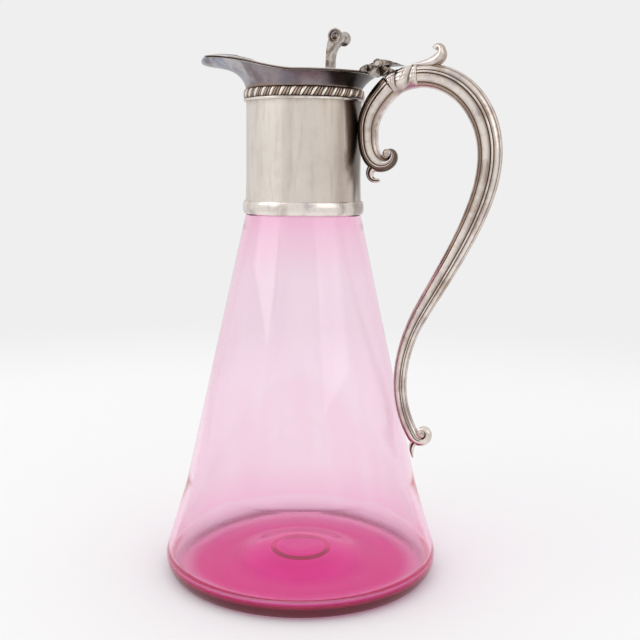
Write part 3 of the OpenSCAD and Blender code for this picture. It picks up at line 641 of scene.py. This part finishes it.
# Cast plaster: matt and slightly grainy, a dull warm white.
plaster, tree, out = new_material("cast_plaster_of_paris")
where = add(tree, "ShaderNodeTexCoord").outputs["Object"]
grain = clouds(tree, where, GRAIN_MM)
surface = add(tree, "ShaderNodeBsdfPrincipled", {
    "Base Color": mix(tree, grain, linear("#d9d2c4"), linear("#ece6da")), "Roughness": 0.9})
tree.links.new(surface.outputs[0], out.inputs["Surface"])


def finish(node, material):
    """Gives a construction node a material in place of the plain one it came with."""
    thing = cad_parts[node]
    thing.data.materials.clear()
    thing.data.materials.append(material)
    print(node, "is", material.name)


finish("plaster_bed", plaster)
finish("collar_sleeve", satin_sheet)
finish("foot_ring", band_silver)
finish("flat_wire", band_silver)
finish("hinge_pin", cast)
finish("hinge_bracket", oxidised)
finish("lid_hinge_strap", oxidised)
finish("thumbpiece", handled)

# %% [markdown]
# ## The gadrooned border
#
# Gadroons are slanting lobes, struck into the strip with a die. One repeat here is a
# large comma-shaped lobe and two fine reeds. Across the repeat, each of the three is a
# half sine; up the band, all of them swell as the upper half of a circle does. The
# whole ring is one array: columns are places round the collar, rows go up the band.

# %% Gadroon ring
SLEEVE_R, SLEEVE_Z = 28.0, 181.2
SLEEVE_TOP = SLEEVE_Z + 59.2
GADROON_H, GADROONS, GADROON_LEAN = 4.4, 36, 3.6  # the lean is in degrees
STRIP_T, STRIP_SWELL, LOBE_RELIEF = 0.5, 0.25, 0.85
WIRE_TOP = SLEEVE_TOP - GADROON_H
FILM = 0.05  # of solder between two pieces


def lobe_edge(k):
    """Where the lobe ends in the repeat: narrow below, wide above."""
    return 0.30 + 0.20 * k


def gadroon_height(s, k):
    """Relief at the share s of a repeat and the share k of the height: half a sine over
    the lobe, and half as high over each of the two reeds in the rest."""
    edge = lobe_edge(k)
    lobe = np.sin(np.pi * np.clip(s / edge, 0, 1)) ** 0.7
    reed = (s - edge) / (1 - edge) * 2
    fine = 0.5 * np.abs(np.sin(np.pi * reed)) ** 0.7
    return np.where(s < edge, lobe, fine)


def gadroon_ring(columns=40, rows=18):
    """Front of the band, row by row, and two rows behind it against the collar. The
    crests are rubbed bright and the hollows stay dark."""
    turn, k = np.meshgrid(np.arange(columns * GADROONS) / columns, np.linspace(0, 1, rows))
    s = turn % 1
    angle = np.radians(360 / GADROONS * turn + GADROON_LEAN * (k - 0.5))
    relief = gadroon_height(s, k)
    swell = np.sqrt(np.clip(1 - (2 * k - 1) ** 2, 0, 1))
    r = SLEEVE_R + STRIP_T + swell * (STRIP_SWELL + LOBE_RELIEF * relief)
    front = np.stack([r * np.cos(angle), r * np.sin(angle), WIRE_TOP + GADROON_H * k], -1)
    back = front[[-1, 0]].copy()
    flat = np.radians(360 / GADROONS * turn[0])
    back[..., 0] = (SLEEVE_R + FILM) * np.cos(flat)
    back[..., 1] = (SLEEVE_R + FILM) * np.sin(flat)
    tone = 1 - np.where(s < lobe_edge(k), 2.2, 1.5) * relief * swell
    return np.concatenate([front, back]), True, np.concatenate([tone, tone[[-1, 0]]])


piece("gadrooned_border", [gadroon_ring()], "jug", ["gadroon_ring"], chased,
      sharp=180)

# %% [markdown]
# ## The mouth and the lid
#
# The mouth is a sheet flared outwards and drawn into a spout. Its rim is one curve in
# plan, a circle plus a bump towards the spout that falls off as a bell curve does. Its
# profile blends from a plain flare at the back to a trough with an upturned lip. The lid
# uses the same plan, set in a little, and the same height, so it fits all the way round.
# The columns of both stand closer together near the spout, where the rim bends most.

# %% Plan and height of the rim
RIM_R, RIM_Z = 34.2, SLEEVE_TOP + 6.5
SPOUT_REACH, SPOUT_RISE, RISE_FROM = 55.0, 10.3, 8.0
SPOUT_SPREAD, MOUTH_T = 22.0, 1.0  # the spread is in degrees to each side
FLARE = np.array([[0, 0], [0.1, 0.3], [0.6, 0.8], [1, 1]], float)
TROUGH = np.array([[0, 0], [0.12, 0.97], [1.24, 0.55], [0.97, 1]], float)

share = np.linspace(-1, 1, 257)[:-1]
turns = 180 * np.sign(share) * np.abs(share) ** 1.35  # degrees from the spout


def spoutness(turn):
    """A bell curve: 1 at the spout and nearly 0 two spreads away from it."""
    return np.exp(-((turn / SPOUT_SPREAD) ** 2))


def rim_radius(turn):
    """The round rim, drawn out to the spout's reach by the bell curve."""
    return RIM_R + (SPOUT_REACH - RIM_R) * spoutness(turn)


def rim_height(x):
    """Height of the rim over x: level behind, then a quarter of a sine up to the lip."""
    return RIM_Z + SPOUT_RISE * np.sin(np.pi / 2 * fade(x, RISE_FROM, -SPOUT_REACH)) ** 1.4


print("rim: %.0f mm long, %.0f mm wide" % (RIM_R + SPOUT_REACH, 2 * RIM_R))


# %% Spout mouth
def mouth_wall(inset, rows=22):
    """One side of the sheet: for each turn, a cubic curve from the collar to the rim,
    moved inwards by inset at right angles to itself."""
    w = spoutness(turns)[:, None, None]
    curve = (1 - w) * FLARE + w * TROUGH
    spread = rim_radius(turns) - SLEEVE_R
    foot = SLEEVE_TOP + FILM
    lift = rim_height(-rim_radius(turns) * np.cos(np.radians(turns))) - foot
    t = np.linspace(0, 1, rows)
    weights = np.stack([(1 - t) ** 3, 3 * (1 - t) ** 2 * t, 3 * (1 - t) * t**2, t**3])
    along = np.stack([(1 - t) ** 2, 2 * (1 - t) * t, t**2])
    at = np.einsum("kr,nkc->nrc", weights, curve)
    way = np.einsum("kr,nkc->nrc", along, np.diff(curve, axis=1))
    way = way * np.stack([spread, lift], 1)[:, None]
    way /= np.linalg.norm(way, axis=2)[..., None]
    r = SLEEVE_R + at[..., 0] * spread[:, None]
    r = r - inset * np.where(t == 1, 1 / way[..., 1], way[..., 1])
    c, s = np.cos(np.radians(turns))[:, None], np.sin(np.radians(turns))[:, None]
    top = rim_height(-r * c)
    z = foot + at[..., 1] * lift[:, None] + way[..., 0] * inset
    z = np.where(t == 0, foot, np.where(t == 1, top, np.minimum(z, top - 0.1)))
    return np.stack([-r * c, -r * s, z], -1).transpose(1, 0, 2)


LIP, BESIDE = 12, 55  # degrees from the spout: the lip, and the rim beside the spout

outer, inner = mouth_wall(0.0), mouth_wall(MOUTH_T)
mouth_grid = np.concatenate([outer, inner[::-1]])
# Dark just above the border, dull inside. The rim has a painted highlight at the lip and
# behind, and beside the spout it is painted dark as the shadow in the gap under the lid.
outside_tone_and_painted_rim = 0.8 * fade(np.linspace(0, 1, len(outer))[:, None], 1 / 6, 0) * np.ones(len(turns))
inside_tone_and_painted_rim = np.full_like(outside_tone_and_painted_rim, 0.5)
outside_tone_and_painted_rim[-1] = inside_tone_and_painted_rim[-1] = np.where(
    np.abs(turns) < LIP, -0.3, np.where(np.abs(turns) < BESIDE, 1.0, -0.8))
tone = np.concatenate([outside_tone_and_painted_rim, inside_tone_and_painted_rim[::-1]])
piece("drawn_spout_and_mouth", [(mouth_grid, True, tone)], "jug", ["spout_mouth"], tarnished,
      sharp=50)

# %% [markdown]
# The lid is a thin plate, cut to the rim's outline and raised into a tongue over the
# spout. It could be cut from the mouth's mesh, but rings of the same plan, shrunk towards
# the middle, follow the rim exactly and close in one point above and one below.

# %% Lid
LID_T, LID_FRONT_T, LID_GAP, LID_INSET, LID_TIP_INSET = 0.8, 0.3, 0.3, 0.5, 1.2
TONGUE_FROM, TONGUE_BLEND, TONGUE_CROWN = -31.0, 2.0, 1.9


def ease(t):
    """A soft step from 0 to 1: 3 t^2 - 2 t^3."""
    t = np.clip(t, 0, 1)
    return t * t * (3 - 2 * t)


def lid_surface(share, top):
    """Rings of the lid's upper or lower face: the rim's plan shrunk by each share."""
    plan = rim_radius(turns) - LID_INSET - LID_TIP_INSET * spoutness(turns) ** 3
    r = np.outer(share, plan)
    x, y = -r * np.cos(np.radians(turns)), -r * np.sin(np.radians(turns))
    z = rim_height(x) + LID_GAP
    tongue = ease((TONGUE_FROM + TONGUE_BLEND - x) / (2 * TONGUE_BLEND))
    if top:
        edge = LID_T + LID_FRONT_T * ease((5 - x) / 35) * (1 - tongue) - 0.3 * tongue
        z = z + edge + TONGUE_CROWN * tongue * (1 - share[:, None] ** 6)
    return np.stack([x, y, z], -1)


shares = np.array([0, 0.1, 0.2, 0.3, 0.4, 0.5, 0.6, 0.7, 0.78, 0.85, 0.9, 0.94, 0.97, 0.985, 1])
low, high = lid_surface(shares, False), lid_surface(shares[::-1], True)
# Below, the plate is dull, and its edge is painted dark as the shadow in the gap under
# the lid. Above, only the edge is painted bright as a highlight.
underside_with_painted_shade = np.where(shares > 0.95, 1.0, 0.22)
top_with_painted_highlight = np.where(shares[::-1] > 0.98, -1.0, 0.0)
tone = np.concatenate([underside_with_painted_shade, top_with_painted_highlight])[:, None]
piece("lid_plate", [(np.concatenate([low, high]), False, tone)], "lid", ["lid"], tarnished,
      sharp=50)

# %% [markdown]
# ## The reeded handle
#
# The handle is cast in one style throughout: a bar whose section is an oval cut by fine
# grooves into reeds. A groove is a place where two rounded reeds meet, so the section is
# written as its groove angles and depths, and between two of them the surface bulges as
# a flattened arch. The same section is carried along every part of the handle, which is
# what makes the reeds run on from the bracket to the arm and into both volutes.

# %% Reeded section and sweep
CREST, RUBBED_CREST = 0.004, -0.35  # depth that still counts as a crest, and its wear
GROOVES = np.array([-12, 12, 28, 63, 77, 126, 234, 283, 297, 332, 348])
DEPTHS = np.array([0.07, 0.07, 0.07, 0.11, 0.12, 0.08, 0.08, 0.12, 0.11, 0.07, 0.07])


def reed_depth(angle):
    """How deep the surface lies below the full oval, as a share of its radius: on a line
    from one groove's depth to the next, less the arch (4 s (1 - s)) ^ 0.45 over it."""
    a = (angle - GROOVES[0]) % 360 + GROOVES[0]
    k = np.searchsorted(GROOVES, a, side="right") - 1
    s = (a - GROOVES[k]) / (GROOVES[k + 1] - GROOVES[k])
    floor_line = DEPTHS[k] + (DEPTHS[k + 1] - DEPTHS[k]) * s
    return floor_line * (1 - np.clip(4 * s * (1 - s), 0, 1) ** 0.45)


around = np.concatenate([np.arange(0, 360, 3.0)] + [GROOVES % 360 + d for d in (-1, 0, 1)])
reed_angles = np.unique(around % 360)
reed_shape = reed_depth(reed_angles)
print("section: %d points, %d grooves" % (len(reed_angles), len(GROOVES)))


def sweep(at, way, a, b, angles=reed_angles, depth=reed_shape, grow=1.0):
    """Carries a section along a path in the upright plane through the spout. a is its
    half depth in that plane and b its half width: the point at angle g lies
    a (1 - depth) cos g along the path's normal and b (1 - depth) sin g sideways. The
    grooves are stained by their depth, and grow makes them deeper or shallower."""
    n = len(at)
    a, b = np.broadcast_to(a, n)[:, None], np.broadcast_to(b, n)[:, None]
    c, s = np.cos(np.radians(angles)), np.sin(np.radians(angles))
    r = 1 - depth * grow
    points = np.stack([at[:, :1] - way[:, 1:] * a * r * c, b * r * s,
                       at[:, 1:] + way[:, :1] * a * r * c], -1)
    stain = fade(depth, 0, 0.1) ** 0.85
    tone = np.where(depth < CREST, RUBBED_CREST, stain)
    return points, np.broadcast_to(tone, points.shape[:2])


def volute(centre, r0, r1, start, end, steps):
    """A bar winding inwards: the radius falls from r0 to r1 by equal ratios while the
    angle goes from start to end, so the bar crosses each radius at the same slant."""
    t = np.linspace(0, 1, steps)
    g = np.radians(start + (end - start) * t)
    slant = np.arctan(np.log(r0 / r1) / np.radians(end - start))
    at = np.asarray(centre) + (r0 * (r1 / r0) ** t)[:, None] * np.stack([np.cos(g), np.sin(g)], 1)
    w = g + np.pi / 2 + slant
    return at, np.stack([np.cos(w), np.sin(w)], 1), t


def cap(part):
    """Closes both ends of a swept part."""
    points, tone = part
    return capped(points), False, np.concatenate([tone[:1], tone, tone[-1:]])


def joined(*runs):
    """Joins swept runs that follow each other into one skin."""
    return np.concatenate([p for p, _ in runs]), np.concatenate([w for _, w in runs])


# %% [markdown]
# The arm is a casting: an S that springs from the knot, arches out for the hand and
# returns towards the glass. A curve drawn by eye in Blender would do, but three cubic
# curves that share their ends and directions give the same line exactly each time. The
# bar is fullest in the arch, where the hand holds it, and thins towards the tail.

# %% Handle arm
PIN_X = RIM_R + 5.0
ARCH_Z = RIM_Z - 1.2
KNOT = np.array([PIN_X + 4.85, ARCH_Z - 4.3])
ARM_X, REACH, TAIL_Z = KNOT[0] + 13.55, 91.9, 74.9
TAIL_X = SHOULDER_R + slope * (BODY_H - TAIL_Z) + 3.9 + 3.4
ARM_A, ARM_TAIL_A, ARM_ROUND, ARM_FULL = 6.0, 3.2, 0.8, 0.6
LOWER = np.array([TAIL_X + 2.1, TAIL_Z + 60.4])

arm_curves = [
    [(ARM_X, ARCH_Z), (ARM_X + 19, ARCH_Z + 1.3), (REACH, ARCH_Z - 15.4), (REACH, ARCH_Z - 36.8)],
    [(REACH, ARCH_Z - 36.8), (REACH, ARCH_Z - 59.8), LOWER + [13.1, 24], LOWER],
    [LOWER, LOWER - [3.3, 6.1], (TAIL_X - 16.1, TAIL_Z + 25.7), (TAIL_X, TAIL_Z)],
]


def arm_half(u):
    """Half depth along the arm: fullest in the arch, then a cosine down to the tail."""
    fall = (1 + np.cos(np.pi * (np.clip(u, ARM_FULL, 3) - ARM_FULL) / (3 - ARM_FULL))) / 2
    return np.where(u < ARM_FULL, ARM_A - 0.7 * (1 - u / ARM_FULL) ** 2,
                    ARM_TAIL_A + (ARM_A - ARM_TAIL_A) * fall**1.15)


u = np.linspace(0, 3, 151)
runs = [bezier(arm_curves[k], u[k * 50 + (k > 0) : k * 50 + 51] - k) for k in range(3)]
arm_at, arm_way = (np.concatenate([run[i] for run in runs]) for i in (0, 1))
arm_a = arm_half(u)
piece("reeded_arm", [cap(sweep(arm_at, arm_way, arm_a, arm_a * ARM_ROUND))], "jug",
      ["handle_arm"], cast, sharp=60)

# %% [markdown]
# Three small forms end the bars of such a handle: the volute, a bar wound into a spiral,
# the button in its eye, and a pointed leaf. A spiral whose radius shrinks by equal ratios
# looks right at every size, and the button and the leaf use the tools above.

# %% Buttons and leaves
def boss(centre, r, half):
    """The button in a volute's eye: a short rod across it with domed ends."""
    dome = np.radians(np.linspace(-90, 0, 8))
    profile = np.concatenate([
        np.stack([r * np.cos(dome), -half + r / 2 * np.sin(dome)], 1),
        np.stack([r * np.cos(dome[::-1]), half - r / 2 * np.sin(dome[::-1])], 1)])
    turned = lathe(profile, 40)
    points = np.stack([centre[0] + turned[..., 0], turned[..., 2], centre[1] - turned[..., 1]], -1)
    return points, False, 0.0


OVAL = np.arange(0, 360, 10.0)  # places round a plain oval section, in degrees


def leaf(points, a, b, steps=24, vein=0.12):
    """A tapering leaf on a cubic curve, with a vein down each side."""
    at, way = bezier(points, np.linspace(0, 1, steps))
    t = np.linspace(0, 1, steps)
    depth = vein * np.exp(-(((OVAL % 180) - 90) / 14) ** 2)
    return cap(sweep(at, way, a[0] + (a[1] - a[0]) * t, b[0] + (b[1] - b[0]) * t, OVAL, depth))


# %% [markdown]
# Under the knot a second bar runs down the back of the collar, is soldered to it, and
# curls outwards. It could be one spiral, but the real bar lies flat against the collar
# first, so it is a curve, a nearly straight run and a volute joined end to end.

# %% Bracket scroll down the collar
C_TOP, C_DEEP, C_END, C_SPIRAL, C_SPIRAL_IN = 5.8, 5.05, 4.4, 6.6, 1.2
C_MID = np.array([SLEEVE_R + 0.2 + C_DEEP, ARCH_Z - 26.1])
C_EYE = np.array([C_MID[0] + 10.3, ARCH_Z - 35.1])
C_FROM, C_TO = 222, 470
spiral_at, spiral_way, spiral_t = volute(C_EYE, C_SPIRAL, C_SPIRAL_IN, C_FROM, C_TO, 60)
C_LOW, C_WAY = spiral_at[0], spiral_way[0]
t, low_t = np.linspace(0, 1, 40), np.linspace(0, 1, 20)[1:]
upper = bezier([KNOT, KNOT - [4.65, 4.1], C_MID + [-1.1, 9.5], C_MID], t)
lower = bezier([C_MID, C_MID - [0, 5.7], C_LOW - 5 * C_WAY, C_LOW], low_t)
# The halves are negative, so that the section's angle 0 faces the collar and then the
# outside of the curl.
bracket = joined(
    sweep(*upper, (C_TOP - C_DEEP) * t - C_TOP - 0.2 * np.sin(np.pi * t), -4.5),
    sweep(*lower, (C_DEEP - C_END) * low_t - C_DEEP, 0.5 * low_t - 4.5),
    sweep(spiral_at[1:], spiral_way[1:], -C_END * (0.55 / C_END) ** spiral_t[1:],
          -(4 - 1.6 * spiral_t[1:])),
)
# Painted shade darkens the strip that faces the collar. The inside of the last 45
# sections, where the bar winds round its own eye, is dark too.
facing_collar = np.minimum(reed_angles, 360 - reed_angles) < 60
stain = np.where(facing_collar, np.maximum(bracket[1], 0.0) * 0.3 + 0.62, bracket[1])
inner_side = np.cos(np.radians(reed_angles)) < -0.5
stain[-45:] = np.where(inner_side, 0.9, stain[-45:])
bracket = bracket[0], stain
hook_path = C_LOW + np.array([[-1.4, -1.6], [-6, -3.6], [-4.4, -9.6], [0.6, -8.2]])
hook = leaf(hook_path, (2.6, 0.9), (2.8, 1.2))
piece("bracket_scroll", [cap(bracket), boss(C_EYE, 2.0, 2.9), hook], "jug", ["handle_c_scroll"],
      cast, sharp=60)

# %% [markdown]
# The arm ends in a volute the other way round, clear of the glass, with a small leaf that
# points down. The reeds fade out on its way in, as they do where a file can't follow.

# %% Tail scroll at the arm's lower end
TAIL = np.array([TAIL_X, TAIL_Z])
TAIL_FROM, TAIL_TO, TAIL_SPIRAL, TAIL_SPIRAL_IN, TAIL_TIP_A = 201, 470, 4.9, 2.0, 1.15
tail_start = np.radians(TAIL_FROM)
TAIL_EYE = TAIL - TAIL_SPIRAL * np.array([np.cos(tail_start), np.sin(tail_start)])
at, way, t = volute(TAIL_EYE, TAIL_SPIRAL, TAIL_SPIRAL_IN, TAIL_FROM, TAIL_TO, 60)
half = ARM_TAIL_A * (TAIL_TIP_A / ARM_TAIL_A) ** t
tail_skin, stain = sweep(at, way, half, ARM_TAIL_A * ARM_ROUND - 0.5 * t,
                         grow=0.3 + 0.7 * fade(t, 0.25, 0)[:, None])
# The outside of the curl is rubbed bright and its hollow is dark.
inner_side = np.cos(np.radians(reed_angles)) > 0.35
hollow = fade(t, 0.2, 0.4)[:, None]
stain = np.where(inner_side, 0.9, -0.5) * hollow + stain * (1 - hollow)
leaf_path = TAIL + np.array([[1.2, -2.6], [-1.3, -5.2], [-0.9, -8.2], [0.2, -11.2]])
tail_leaf = leaf(leaf_path, (2.1, 0.3), (2.3, 0.5))
piece("tail_volute", [cap((tail_skin, stain)), boss(TAIL_EYE, 1.9, 2.4), tail_leaf], "jug",
      ["tail_scroll"], cast, sharp=60)

# %% [markdown]
# Where bracket, arm and hinge meet, the casting swells into a knot of leaves wrapped
# round the bar: three bands with creases between them, hollows between the leaflets and
# a few veins. Sculpting would give freer leaves, but a formula keeps them on the bar: a
# lobe is a power of a sine between two creases, and a hollow is a bell curve.

# %% Knot of acanthus leaves
KNOT_CREASES = np.array([0, 0.34, 0.82, 1])
LEAF_SLANT = 0.14


def knot_skin(rows=120, columns=160):
    """g goes round the bar and t along it. h is the angle from the bar's top, and the
    leaves fade out below, where the bar is smooth."""
    around = np.linspace(0, 360, columns, endpoint=False)
    g, t = np.meshgrid(around, np.linspace(0.004, 0.996, rows))
    path = [KNOT, KNOT + [3.4, 3], (ARM_X - 5.2, ARCH_Z - 0.36), (ARM_X, ARCH_Z)]
    at, way = bezier(path, t[:, 0])
    h = np.minimum(g, 360 - g)
    slanted = np.clip(t + LEAF_SLANT * (h - 55) / 55 * 4 * t * (1 - t), 0, 1)
    k = np.clip(np.searchsorted(KNOT_CREASES, slanted, side="right") - 1, 0, 2)
    s = (slanted - KNOT_CREASES[k]) / (KNOT_CREASES[k + 1] - KNOT_CREASES[k])
    lobe = np.abs(np.sin(np.pi * s)) ** 0.6

    def cut(t0, h0, turn):
        """A slanting hollow between two leaflets, with its middle at t0 and h0."""
        along = (h - h0) / 24
        return np.exp(-(((t - t0 - turn * along) / 0.035) ** 2) - along**2)

    vein = 0.25 * np.exp(-(((h - 52) / 5) ** 2)) + 0.25 * np.exp(-(((h - 82) / 5) ** 2))
    hollows = 0.5 * cut(0.16, 70, -0.04) + 0.6 * cut(0.56, 66, -0.05) + 0.3 * cut(0.9, 70, -0.02)
    dent = hollows + vein * lobe
    under = ease((h - 95) / 50)
    side = np.abs(np.sin(np.radians(g)))
    bar = C_TOP + (5.3 - C_TOP) * t
    a = (1 - under) * (4.9 + lobe * (0.5 + 0.2 * side) - 1.1 * dent) + under * bar
    b = 4.1 + (1 - under) * (lobe * 1.1 - 1.2 * dent)
    c, s = np.cos(np.radians(g)), np.sin(np.radians(g))
    points = np.stack([at[:, :1] - way[:, 1:] * a * c, b * s, at[:, 1:] + way[:, :1] * a * c], -1)
    deep = np.clip(0.9 * (1 - lobe) ** 2 + dent, 0, 1) * (1 - under) - 0.3 * lobe * (1 - under)
    return cap((points, deep))


piece("acanthus_leaves", [knot_skin()], "jug", ["acanthus_knot"], cast, sharp=80)

# %% [markdown]
# One leaf rises from the top of the arch and curls back over: the thumb presses on it to
# steady the jug. It is an oval bar on two curves, broad in the middle and thin at the
# curl, with a painted highlight along its top and painted shade underneath.

# %% Thumb rest
REST_TOP = ARCH_Z + 5.1
blade = [(ARM_X - 3.4, REST_TOP + 0.2), (ARM_X + 7.5, REST_TOP - 0.2),
         (ARM_X + 11.2, REST_TOP + 2.6), (ARM_X + 10.5, REST_TOP + 6.2)]
tip = np.array(blade[3])
t = np.linspace(0, 1, 30)
rest = joined(
    sweep(*bezier(blade, t), 0.6 + 2.2 * np.sin(np.radians(150 * t)),
          1.8 + 1.7 * np.sin(np.radians(120 * t)), OVAL, 0 * OVAL),
    sweep(*bezier([tip, tip + [-0.4, 1.8], tip + [-2.3, 2.1], tip + [-3.4, 0.6]], t[3:]),
          1.8 - 0.4 * t[3:], 3.2 - 1.2 * t[3:], OVAL, 0 * OVAL),
)
# Painted light: lighter along the top, as a highlight, and darker underneath, as shade.
shade = np.broadcast_to(0.05 - 0.3 * np.cos(np.radians(OVAL)), rest[1].shape)
piece("curled_thumb_leaf", [cap((rest[0], shade))], "jug", ["thumb_rest"], cast,
      sharp=80)
